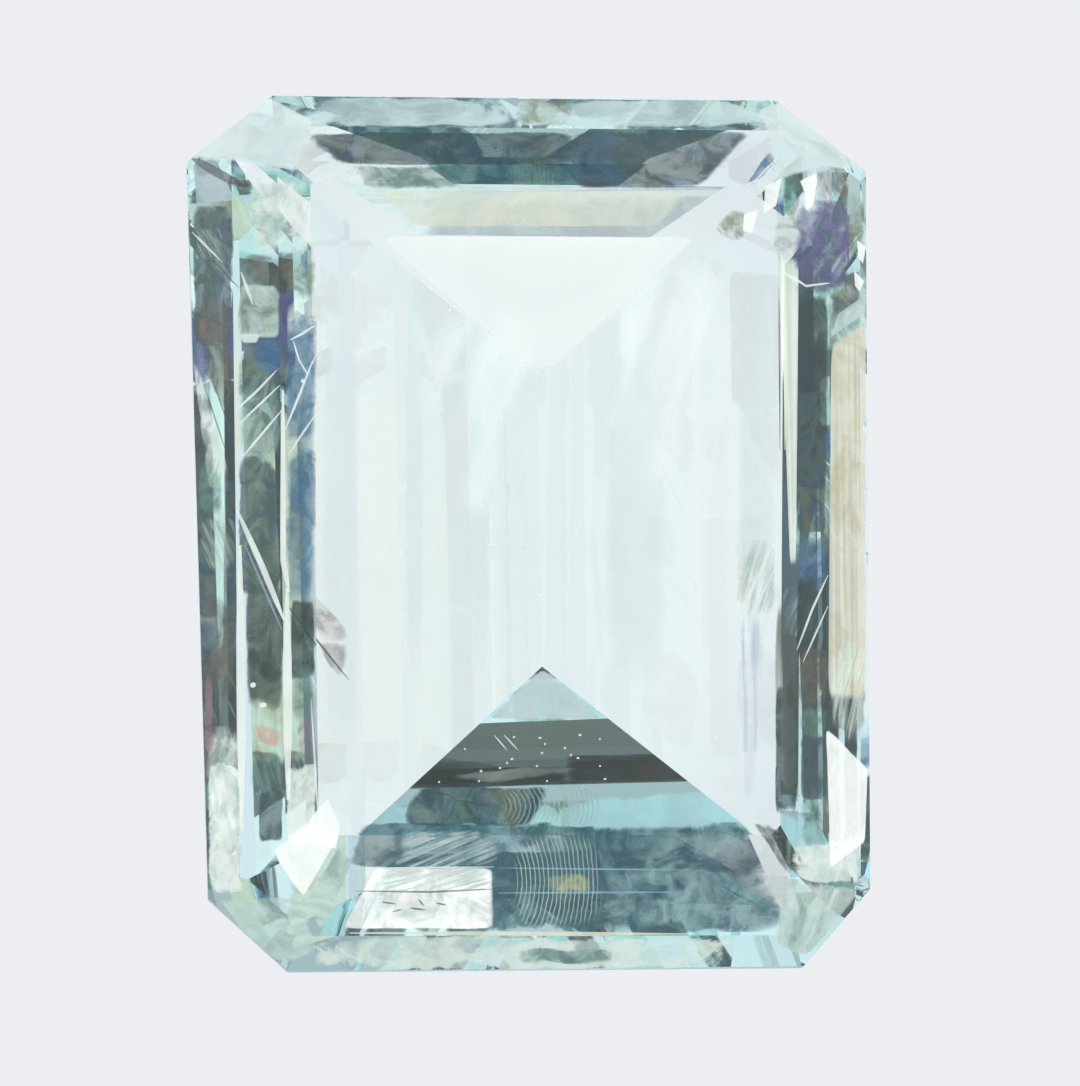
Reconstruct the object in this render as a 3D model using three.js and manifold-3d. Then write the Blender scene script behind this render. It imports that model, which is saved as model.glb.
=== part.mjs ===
// Step-cut aquamarine lying on a long facet beside its keel
//
// Millimetres and degrees. The stone is described in its own frame first: the girdle plane is z = 0,
// the table faces +z, the long axis is y and the keel lies below. It is then turned so that the right
// facet beside the keel lies flat on the ground, with the origin under the middle of the stone.
// An azimuth is counted from +x towards +y. A slope is the angle between a facet and the girdle plane.

import * as THREE from "three";
import { mergeVertices } from "three/addons/utils/BufferGeometryUtils.js";
import Module from "manifold-3d";

const wasm = await Module();
wasm.setup();

// Driving dimensions
const tableHeight = 1.5;
const girdleBand = 0.25;
const keelDepth = 4.11;
const keelX = 0.208;
const keelTopY = 2.595;
const keelBottomY = -1.689;

// The four sides. reach is the girdle's distance from the axis. The crown has three steps that rise from
// the girdle. The pavilion has a steep lower step under the girdle, a middle step, and a wide facet that
// runs out from the keel. The angles differ a little from side to side, as a hand-cut stone's do.
const sides = {
  right: {
    azimuth: 0.2,
    reach: 4.8,
    crown: { azimuth: -0.5, slopes: [50.7, 46.8, 43.8], rises: [0.74, 0.5] },
    lowerSlope: 60,
    middle: { azimuth: 0.8, slope: 38 },
    keelFacet: { azimuth: 0.8, slope: 33, run: 2.73 },
  },
  top: {
    azimuth: 90,
    reach: 6.28,
    crown: { azimuth: 90, slopes: [51.7, 40, 38], rises: [0.72, 0.5] },
    lowerSlope: 68,
    middle: { azimuth: 90.4, slope: 45 },
    keelFacet: { azimuth: 90.6, slope: 36.5, run: 1.87 },
  },
  left: {
    azimuth: 181.9,
    reach: 4.79,
    crown: { azimuth: 180.9, slopes: [53.9, 37.5, 32.4], rises: [0.72, 0.49] },
    lowerSlope: 60,
    middle: { azimuth: 180.9, slope: 36 },
    keelFacet: { azimuth: 180.8, slope: 33, run: 2.69 },
  },
  bottom: {
    azimuth: 270.8,
    reach: 6.28,
    crown: { azimuth: 270.4, slopes: [55.6, 36, 31.2], rises: [0.6, 0.57] },
    lowerSlope: 62,
    middle: { azimuth: 271.2, slope: 44 },
    keelFacet: { azimuth: 272.5, slope: 35.6, run: 2.73 },
  },
};

// The four cut corners. Only the two top ones have a narrow facet that tapers towards the keel's end.
const cornerCrown = { slopes: [58, 38, 29], rises: [0.8, 0.43] };
const cornerLowerSlope = 70;
const corners = {
  topRight: { azimuth: 52, reach: 7.1, keelFacetSlope: 29.5 },
  topLeft: { azimuth: 128.5, reach: 7.25, keelFacetSlope: 28.5 },
  bottomLeft: { azimuth: 228, reach: 7.03 },
  bottomRight: { azimuth: 319.3, reach: 6.98 },
};

// Small shell-shaped nicks in the girdle's upper edge: centre and radius of each scoop
const nicks = [
  { x: 4.88, y: 1.52, z: 0.02, radius: 0.17 },
  { x: 4.87, y: 0.58, z: 0.04, radius: 0.14 },
  { x: 4.86, y: -0.36, z: 0.05, radius: 0.13 },
  { x: 4.72, y: -5.12, z: 0.06, radius: 0.2 },
  { x: -0.6, y: -6.36, z: 0.03, radius: 0.15 },
  { x: -4.95, y: 2.1, z: 0.04, radius: 0.14 },
];

// The rough block, and the fineness of a scoop's facets
const roughSize = 40;
const scoopDetail = 1;
const weldDistance = 1e-5;

function solidOf(geometry) {
  geometry.deleteAttribute("normal");
  geometry.deleteAttribute("uv");
  const merged = mergeVertices(geometry, weldDistance);
  return new wasm.Manifold(new wasm.Mesh({
    numProp: 3,
    vertProperties: merged.attributes.position.array,
    triVerts: new Uint32Array(merged.index.array),
  }));
}

function outward(azimuth, slope, faces) {
  const turn = THREE.MathUtils.degToRad(azimuth);
  const tilt = THREE.MathUtils.degToRad(slope);
  return new THREE.Vector3(
    Math.sin(tilt) * Math.cos(turn),
    Math.sin(tilt) * Math.sin(turn),
    Math.cos(tilt) * (faces === "up" ? 1 : -1),
  );
}

// A point of a side at a distance from the axis and a height
function along(azimuth, reach, z) {
  const turn = THREE.MathUtils.degToRad(azimuth);
  return new THREE.Vector3(reach * Math.cos(turn), reach * Math.sin(turn), z);
}

// What the lap grinds away to make one flat facet through a point
function ground(normal, through) {
  const waste = new THREE.BoxGeometry(roughSize, roughSize, roughSize);
  waste.translate(0, 0, roughSize / 2);
  waste.applyQuaternion(new THREE.Quaternion().setFromUnitVectors(new THREE.Vector3(0, 0, 1), normal));
  waste.translate(through.x, through.y, through.z);
  return waste;
}

function crownFacets(azimuth, start, { slopes, rises }) {
  const facets = [];
  let reach = start;
  let height = 0;
  slopes.forEach((slope, step) => {
    facets.push(ground(outward(azimuth, slope, "up"), along(azimuth, reach, height)));
    const rise = rises[step] ?? tableHeight - height;
    reach -= rise / Math.tan(THREE.MathUtils.degToRad(slope));
    height += rise;
  });
  return facets;
}

function sideFacets({ azimuth, reach, crown, lowerSlope, middle, keelFacet }, keelEnd) {
  const rise = keelFacet.run * Math.tan(THREE.MathUtils.degToRad(keelFacet.slope));
  const ring = keelEnd.clone().add(along(keelFacet.azimuth, keelFacet.run, rise));
  return [
    ground(outward(azimuth, 90, "up"), along(azimuth, reach, 0)),
    ...crownFacets(crown.azimuth, reach, crown),
    ground(outward(azimuth, lowerSlope, "down"), along(azimuth, reach, -girdleBand)),
    ground(outward(middle.azimuth, middle.slope, "down"), ring),
    ground(outward(keelFacet.azimuth, keelFacet.slope, "down"), keelEnd),
  ];
}

function cornerFacets({ azimuth, reach, keelFacetSlope }, keelEnd) {
  const facets = [
    ground(outward(azimuth, 90, "up"), along(azimuth, reach, 0)),
    ...crownFacets(azimuth, reach, cornerCrown),
    ground(outward(azimuth, cornerLowerSlope, "down"), along(azimuth, reach, -girdleBand)),
  ];
  if (keelFacetSlope) facets.push(ground(outward(azimuth, keelFacetSlope, "down"), keelEnd));
  return facets;
}

function scoop({ x, y, z, radius }) {
  const ball = new THREE.IcosahedronGeometry(radius, scoopDetail);
  ball.translate(x, y, z);
  return ball;
}

const keelMiddle = new THREE.Vector3(keelX, (keelTopY + keelBottomY) / 2, -keelDepth);
const keelTop = new THREE.Vector3(keelX, keelTopY, -keelDepth);
const keelBottom = new THREE.Vector3(keelX, keelBottomY, -keelDepth);

const wastes = [
  ground(new THREE.Vector3(0, 0, 1), new THREE.Vector3(0, 0, tableHeight)),
  ...sideFacets(sides.right, keelMiddle),
  ...sideFacets(sides.left, keelMiddle),
  ...sideFacets(sides.top, keelTop),
  ...sideFacets(sides.bottom, keelBottom),
  ...cornerFacets(corners.topRight, keelTop),
  ...cornerFacets(corners.topLeft, keelTop),
  ...cornerFacets(corners.bottomLeft, keelBottom),
  ...cornerFacets(corners.bottomRight, keelBottom),
  ...nicks.map(scoop),
];

let stone = solidOf(new THREE.BoxGeometry(roughSize / 2, roughSize / 2, roughSize / 2));
for (const waste of wastes) {
  stone = stone.subtract(solidOf(waste));
}

const cut = stone.getMesh();
const geometry = new THREE.BufferGeometry();
geometry.setAttribute("position", new THREE.BufferAttribute(cut.vertProperties, 3));
geometry.setIndex(new THREE.BufferAttribute(cut.triVerts, 1));

const aquamarine = new THREE.Mesh(
  geometry,
  new THREE.MeshStandardMaterial({ color: 0xd7edf0, roughness: 0.05, metalness: 0, flatShading: true }),
);
aquamarine.name = "aquamarine";

// Laid on the right facet beside the keel, with the origin under the middle of its box
const restFacet = outward(sides.right.keelFacet.azimuth, sides.right.keelFacet.slope, "down");
aquamarine.quaternion.setFromUnitVectors(restFacet, new THREE.Vector3(0, 0, -1));
const box = new THREE.Box3().setFromObject(aquamarine, true);
aquamarine.position.set(
  -(box.min.x + box.max.x) / 2,
  -(box.min.y + box.max.y) / 2,
  -box.min.z,
);

const cutStone = new THREE.Group();
cutStone.add(aquamarine);

export default cutStone;
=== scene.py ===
"""Looks of a clear step-cut aquamarine that lies on the long facet beside its keel."""

import logging
import math
from dataclasses import dataclass, field
from enum import Enum

import bpy
from mathutils import Color, Matrix, Quaternion, Vector
from mathutils.bvhtree import BVHTree


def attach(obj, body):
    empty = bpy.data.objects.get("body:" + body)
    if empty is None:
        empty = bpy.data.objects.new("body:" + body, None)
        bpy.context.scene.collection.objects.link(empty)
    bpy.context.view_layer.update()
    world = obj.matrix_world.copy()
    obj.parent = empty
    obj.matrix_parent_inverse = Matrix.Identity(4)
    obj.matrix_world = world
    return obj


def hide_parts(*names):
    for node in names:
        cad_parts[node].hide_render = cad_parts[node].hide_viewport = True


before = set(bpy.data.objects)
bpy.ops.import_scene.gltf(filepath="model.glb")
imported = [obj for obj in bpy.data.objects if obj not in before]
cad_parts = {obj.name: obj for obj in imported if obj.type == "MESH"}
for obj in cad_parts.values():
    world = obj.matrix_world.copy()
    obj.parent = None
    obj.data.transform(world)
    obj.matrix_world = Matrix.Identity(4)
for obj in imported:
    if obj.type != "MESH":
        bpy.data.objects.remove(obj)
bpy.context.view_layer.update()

log = logging.getLogger("aquamarine")
MM = 0.001
REFRACTION = 1.577
CROSSINGS = 18
FILMS_IN_THE_WAY = 32
FULL_TONE = 255
Socket = bpy.types.NodeSocket


# Where the stone lies

@dataclass(frozen=True)
class StonePlace:
    """The stone's own frame, in millimetres: girdle plane z = 0, table towards +z, length along y.

    The stone rests on a facet beside its keel, which faces azimuth in the stone's frame and leans by
    slope from its girdle plane. origin is where the stone's own origin then is.
    """

    azimuth: float = math.radians(0.8)
    slope: float = math.radians(33)
    origin: Vector = Vector((0.15581, 0.01739, 3.56365))

    @property
    def turn(self) -> Quaternion:
        """Give the turn that lays the rest facet on the ground."""
        return Quaternion((-math.sin(self.azimuth), math.cos(self.azimuth), 0), self.slope)

    def point(self, x: float, y: float, z: float) -> Vector:
        """Give a point of the stone's frame as a point of the scene, in metres."""
        return (self.turn @ Vector((x, y, z)) + self.origin) * MM

    def direction(self, x: float, y: float, z: float) -> Vector:
        """Give a direction of the stone's frame as a direction of the scene."""
        return (self.turn @ Vector((x, y, z))).normalized()


PLACE = StonePlace()


def tone(red: int, green: int, blue: int) -> tuple[float, float, float]:
    """Give a display colour, 0 to 255, as the linear colour that a shader wants."""
    shown = Color((red / FULL_TONE, green / FULL_TONE, blue / FULL_TONE))
    return tuple(shown.from_srgb_to_scene_linear())


# Small helpers for meshes and nodes

def deselect() -> None:
    """Leave edit mode and select nothing."""
    if bpy.context.object and bpy.context.object.mode != "OBJECT":
        bpy.ops.object.mode_set(mode="OBJECT")
    bpy.ops.object.select_all(action="DESELECT")


def only(obj: bpy.types.Object) -> None:
    """Make one object the only selected one, and the active one."""
    deselect()
    obj.select_set(True)
    bpy.context.view_layer.objects.active = obj


def settle(obj: bpy.types.Object) -> None:
    """Put an object's place, turn and scale into its mesh."""
    only(obj)
    bpy.ops.object.transform_apply(location=True, rotation=True, scale=True)


class Shader:
    """A short way to write a node tree."""

    def __init__(self, tree: bpy.types.NodeTree) -> None:
        """Start an empty tree.

        Args:
            tree: The tree of a material or of the world.
        """
        self.tree = tree
        tree.nodes.clear()

    def add(self, kind: str, values: dict | None = None, **settings: str | float) -> bpy.types.Node:
        """Add a node.

        Args:
            kind: The node's type without the leading ShaderNode.
            values: Numbers, colours or output sockets for its inputs.
            **settings: The node's own properties.

        Returns:
            The node.
        """
        node = self.tree.nodes.new("ShaderNode" + kind)
        for name, value in settings.items():
            setattr(node, name, value)
        for name, value in (values or {}).items():
            socket = node.inputs[name]
            if isinstance(value, Socket):
                self.tree.links.new(value, socket)
            else:
                socket.default_value = value
        return node

    def math(self, operation: str, *values: float | Socket) -> Socket:
        """Add a Math node of one, two or three values and give its result."""
        node = self.add("Math", dict(enumerate(values)), operation=operation)
        return node.outputs[0]

    def noise(self, place: Socket, scale: float, detail: float, **values: float) -> bpy.types.Node:
        """Add a noise pattern.

        Args:
            place: Where the pattern is read.
            scale: Its waves for each unit of place.
            detail: How many finer layers it has.
            **values: Its other inputs, by their names in lower case.

        Returns:
            The node.
        """
        others = {name.capitalize(): value for name, value in values.items()}
        return self.add("TexNoise", {"Vector": place, "Scale": scale, "Detail": detail, **others})

    def blend(self, value: Socket, span: tuple, reach: tuple = (0.0, 1.0)) -> Socket:
        """Turn a value into a soft step.

        Args:
            value: What is turned.
            span: Where the step starts and ends.
            reach: What it gives at its start and at its end.

        Returns:
            The stepped value.
        """
        node = self.add("MapRange", {"Value": value, "From Min": span[0], "From Max": span[1],
                                     "To Min": reach[0], "To Max": reach[1]},
                        interpolation_type="SMOOTHSTEP")
        return node.outputs[0]

    def ramp(self, factor: Socket, stops: dict) -> Socket:
        """Add a colour ramp.

        Args:
            factor: The value that runs along the ramp.
            stops: Position and colour of each stop, in order.

        Returns:
            The ramp's colour.
        """
        node = self.add("ValToRGB", {0: factor})
        elements = node.color_ramp.elements
        while len(elements) < len(stops):
            elements.new(1.0)
        for element, (position, colour) in zip(elements, stops.items()):
            element.position = position
            element.color = (*colour, 1.0)
        return node.outputs["Color"]

    def mix(self, share: float | Socket, first: tuple | Socket, second: tuple | Socket) -> Socket:
        """Blend two colours.

        Args:
            share: How much of the second colour there is, 0 to 1.
            first: The first colour.
            second: The second colour.

        Returns:
            The blended colour.
        """
        node = self.add("Mix", data_type="RGBA")
        factor, *_, start, end = [socket for socket in node.inputs if socket.enabled]
        for socket, value in ((factor, share), (start, first), (end, second)):
            if isinstance(value, Socket):
                self.tree.links.new(value, socket)
            else:
                socket.default_value = value if socket is factor else (*value, 1.0)
        return node.outputs[2]


def new_material(name: str) -> tuple[bpy.types.Material, Shader]:
    """Start a material.

    Args:
        name: The material's name.

    Returns:
        The material and the writer of its node tree.
    """
    material = bpy.data.materials.new(name)
    material.use_nodes = True
    material.cycles.emission_sampling = "NONE"
    return material, Shader(material.node_tree)


# The stone

@dataclass(frozen=True)
class ClearBeryl:
    """Polished pale blue beryl, with a rough girdle and slightly worn facet edges.

    absorbed is the tint that light keeps on its way through. The grain roughens the girdle, and the
    waves are the faint swell of a polished facet.
    """

    absorbed: tuple = (0.35, 0.85, 0.90)
    density: float = 45.0
    edge_roughness: float = 0.25
    girdle_roughness: float = 0.45
    grain_scale: float = 2400.0
    grain_detail: float = 3.0
    wave_scale: float = 380.0
    wave_detail: float = 2.0
    wave_share: float = 0.3
    bump_strength: float = 0.12
    bump_height: float = 0.02 * MM

    def material(self) -> bpy.types.Material:
        """Make the stone's material.

        Returns:
            The material.
        """
        material, shader = new_material("clear_beryl")
        place = shader.add("TexCoord").outputs["Object"]
        edge = shader.add("Attribute", attribute_name="edge").outputs["Fac"]
        frost = shader.add("Attribute", attribute_name="frost").outputs["Fac"]
        rough = shader.math("ADD", shader.math("MULTIPLY", edge, self.edge_roughness),
                            shader.math("MULTIPLY", frost, self.girdle_roughness))
        grain = shader.noise(place, self.grain_scale, self.grain_detail).outputs["Fac"]
        waves = shader.noise(place, self.wave_scale, self.wave_detail).outputs["Fac"]
        swell = shader.math("MULTIPLY", waves, self.wave_share)
        height = shader.math("MULTIPLY_ADD", grain, frost, swell)
        bump = shader.add("Bump", {"Strength": self.bump_strength, "Distance": self.bump_height,
                                   "Height": height})
        glass = shader.add("BsdfPrincipled", {
            "Base Color": (1.0, 1.0, 1.0, 1.0),
            "Roughness": rough,
            "IOR": REFRACTION,
            "Transmission Weight": 1.0,
            "Normal": bump.outputs["Normal"],
        })
        volume = shader.add("VolumeAbsorption", {"Color": (*self.absorbed, 1.0), "Density": self.density})
        shader.add("OutputMaterial", {"Surface": glass.outputs[0], "Volume": volume.outputs[0]})
        return material


@dataclass
class CutStone:
    """The cut stone: the solid's facets with fine worn edges and a frosted girdle.

    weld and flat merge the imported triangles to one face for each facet. An edge is worn where its two
    facets meet at more than sharp, and a face belongs to the girdle where it stands nearly upright to
    the girdle plane, within girdle_lean.
    """

    name: str = "aquamarine_stone"
    weld: float = 0.002 * MM
    flat: float = math.radians(0.4)
    sharp: float = math.radians(1.5)
    edge_width: float = 0.014 * MM
    shortest_edge: float = 0.25 * MM
    girdle_lean: float = 0.15
    finish: ClearBeryl = field(default_factory=ClearBeryl)

    def build(self) -> bpy.types.Object:
        """Model and dress the stone.

        Returns:
            The piece that stands for the node.
        """
        deselect()
        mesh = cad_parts["aquamarine"].data.copy()
        mesh.materials.clear()
        stone = bpy.data.objects.new(self.name, mesh)
        bpy.context.scene.collection.objects.link(stone)
        only(stone)
        bpy.ops.object.mode_set(mode="EDIT")
        bpy.ops.mesh.select_all(action="SELECT")
        bpy.ops.mesh.remove_doubles(threshold=self.weld)
        bpy.ops.mesh.dissolve_limited(angle_limit=self.flat)
        bpy.ops.mesh.customdata_custom_splitnormals_clear()
        bpy.ops.object.mode_set(mode="OBJECT")
        self.wear_edges(stone)
        self.frost_girdle(stone)
        bpy.ops.object.shade_flat()
        mesh.materials.append(self.finish.material())
        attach(stone, "root")
        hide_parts("aquamarine")
        return stone

    def wear_edges(self, stone: bpy.types.Object) -> None:
        """Give each facet edge a narrow flat, as polishing and handling leave.

        Args:
            stone: The stone, with one face for each facet.
        """
        mesh = stone.data
        for name in ("facet", "worn"):
            mesh.materials.append(bpy.data.materials.new(name))
        faces: dict[tuple, list] = {}
        for polygon in mesh.polygons:
            for key in polygon.edge_keys:
                faces.setdefault(key, []).append(polygon.normal.copy())
        bpy.ops.object.mode_set(mode="EDIT")
        bpy.ops.mesh.select_all(action="DESELECT")
        bpy.ops.object.mode_set(mode="OBJECT")
        for edge in mesh.edges:
            first, second = (mesh.vertices[index].co for index in edge.vertices)
            sides = faces[tuple(sorted(edge.vertices))]
            long_enough = (first - second).length > self.shortest_edge
            edge.select = long_enough and len(sides) == 2 and sides[0].angle(sides[1]) > self.sharp
        bpy.ops.object.mode_set(mode="EDIT")
        bpy.ops.mesh.bevel(offset=self.edge_width, segments=1, affect="EDGES", clamp_overlap=True,
                           material=1)
        bpy.ops.object.mode_set(mode="OBJECT")
        worn = [float(polygon.material_index == 1) for polygon in mesh.polygons]
        mesh.attributes.new("edge", "FLOAT", "FACE").data.foreach_set("value", worn)
        for polygon in mesh.polygons:
            polygon.material_index = 0
        for material in list(mesh.materials):
            bpy.data.materials.remove(material)
        mesh.materials.clear()

    def frost_girdle(self, stone: bpy.types.Object) -> None:
        """Mark the faces of the girdle, which is ground but not polished.

        Args:
            stone: The stone with its worn edges.
        """
        mesh = stone.data
        up = PLACE.direction(0, 0, 1)
        frost = [float(abs(polygon.normal.dot(up)) < self.girdle_lean) for polygon in mesh.polygons]
        mesh.attributes.new("frost", "FLOAT", "FACE").data.foreach_set("value", frost)


# The photograph's view, and what lies inside the stone

@dataclass
class Sight:
    """The view of the photograph, which looks down on the table.

    photo_size and stone_middle are in the photograph's pixels, leans in degrees to the right and up.
    nearest and farthest are the metres from the camera between which things are drawn.
    """

    lens: float = 355.0
    sensor: float = 36.0
    photo_size: tuple = (1080, 1086)
    pixels_per_mm: float = 70.0
    stone_middle: tuple = (533, 531)
    leans: tuple = (3.0, 8.0)
    nearest: float = 0.01
    farthest: float = 2.0

    def __post_init__(self) -> None:
        """Work out where the camera is and how it is turned."""
        lean_right, lean_up = (math.sin(math.radians(angle)) for angle in self.leans)
        self.back = PLACE.direction(-lean_right, -lean_up, math.sqrt(1 - lean_right ** 2 - lean_up ** 2))
        self.right = PLACE.direction(0, 1, 0).cross(self.back).normalized()
        self.up = self.back.cross(self.right)
        wide, high = self.photo_size
        distance = high / self.pixels_per_mm * MM * self.lens / self.sensor
        self.eye = self.on_middle_plane(wide / 2, high / 2) + self.back * distance

    def on_middle_plane(self, across: float, down: float) -> Vector:
        """Give the point of the picture's plane through the stone's middle at a pixel.

        Args:
            across: Pixels from the photograph's left edge.
            down: Pixels from its top edge.

        Returns:
            The point, in metres.
        """
        step = MM / self.pixels_per_mm
        aside = (across - self.stone_middle[0]) * step
        above = (self.stone_middle[1] - down) * step
        return PLACE.point(0, 0, 0) + self.right * aside + self.up * above

    def ray(self, across: float, down: float) -> Vector:
        """Give the direction from the camera through a pixel of the photograph."""
        return (self.on_middle_plane(across, down) - self.eye).normalized()

    def camera(self) -> bpy.types.Object:
        """Make the camera.

        Returns:
            The camera, which is the scene's own.
        """
        data = bpy.data.cameras.new("camera")
        data.lens = self.lens
        data.sensor_width = self.sensor
        data.clip_start = self.nearest
        data.clip_end = self.farthest
        camera = bpy.data.objects.new("camera", data)
        bpy.context.scene.collection.objects.link(camera)
        bpy.context.scene.camera = camera
        turn = Matrix((self.right, self.up, self.back)).transposed().to_4x4()
        camera.matrix_world = Matrix.Translation(self.eye) @ turn
        return camera


@dataclass
class StoneInside:
    """Finds the places inside the stone that the photograph shows at a pixel.

    margin is how far a place stays under the facets, smallest_facet the area under which a face of the
    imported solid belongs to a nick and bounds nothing.
    """

    sight: Sight
    margin: float = 0.02 * MM
    smallest_facet: float = 0.1 * MM * MM

    def __post_init__(self) -> None:
        """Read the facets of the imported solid."""
        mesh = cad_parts["aquamarine"].data
        self.tree = BVHTree.FromPolygons([vertex.co.copy() for vertex in mesh.vertices],
                                         [tuple(polygon.vertices) for polygon in mesh.polygons])
        self.facets = [(polygon.normal.copy(), polygon.center.copy()) for polygon in mesh.polygons
                       if polygon.area > self.smallest_facet]

    def facet(self, across: float, down: float) -> tuple[Vector, Vector]:
        """Give a point and the normal of the facet at a pixel."""
        point, normal, _, _ = self.tree.ray_cast(self.sight.eye, self.sight.ray(across, down))
        return point, normal

    def place(self, across: float, down: float, depth: float, facet: tuple[Vector, Vector]) -> Vector:
        """Give the point seen at a pixel, some way under a facet.

        Args:
            across: Pixels from the photograph's left edge.
            down: Pixels from its top edge.
            depth: Millimetres along the sight line, which bends at the facet.
            facet: A point and the normal of that facet.

        Returns:
            The point, kept inside the stone.
        """
        way = self.sight.ray(across, down)
        through, normal = facet
        start = self.sight.eye + way * ((through - self.sight.eye).dot(normal) / way.dot(normal))
        outside = -way.dot(normal)
        within = math.sqrt(1 - (1 - outside ** 2) / REFRACTION ** 2)
        bent = way / REFRACTION + normal * (outside / REFRACTION - within)
        return self.keep_in(start + bent.normalized() * depth * MM)

    def keep_in(self, point: Vector) -> Vector:
        """Move a point in from any facet that it is too close to.

        Args:
            point: The point, in metres.

        Returns:
            The point, at least the margin under every facet.
        """
        for normal, centre in self.facets:
            out = (point - centre).dot(normal) + self.margin
            if out > 0:
                point = point - normal * out
        return point


class Pattern(Enum):
    """How an inclusion covers its film."""

    EVEN = "even"
    WISPS = "wisps"
    FIBRES = "fibres"
    RIPPLES = "ripples"
    CRACKLE = "crackle"


# How the patterns of the films are drawn. A finish's scale counts waves in a metre. A fibre's width is
# FIBRE_WIDTH divided by it, and its length FIBRE_LENGTH, both as shares of the film. The arcs are laid on
# the film's own map. A span is the stretch of a pattern's value that becomes a soft step.
COLOUR_COARSENESS = 0.6
COLOUR_DISTORTION = 0.6
COLOUR_SPAN = (0.36, 0.64)
COVER_SPAN = (0.38, 0.62)
WISP_DETAIL = 5.0
WISP_ROUGHNESS = 0.62
WISP_DISTORTION = 0.9
EVEN_DETAIL = 2.0
FIBRE_WIDTH = 150.0
FIBRE_LENGTH = 1.1
FINE_FIBRE_SCALE = 1000.0
FINE_FIBRE_DETAIL = 3.0
BROAD_FIBRE_DETAIL = 0.5
ARC_PLACE = (0.35, -0.4, 0.0)
ARC_SHAPE = (1.0, 0.8, 1.0)
ARC_SCALE = 6.5
ARC_DISTORTION = 1.8
ARC_DETAIL = 2.0
ARC_DETAIL_SCALE = 1.5
ARC_SHARPNESS = 4.0
BEND = 0.6 * MM
BEND_COARSENESS = 0.5
BEND_DETAIL = 3.0
FILM_ROUGHNESS = 0.6
LEAST_COVER = {Pattern.EVEN: 0.85, Pattern.CRACKLE: 0.55}


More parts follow.
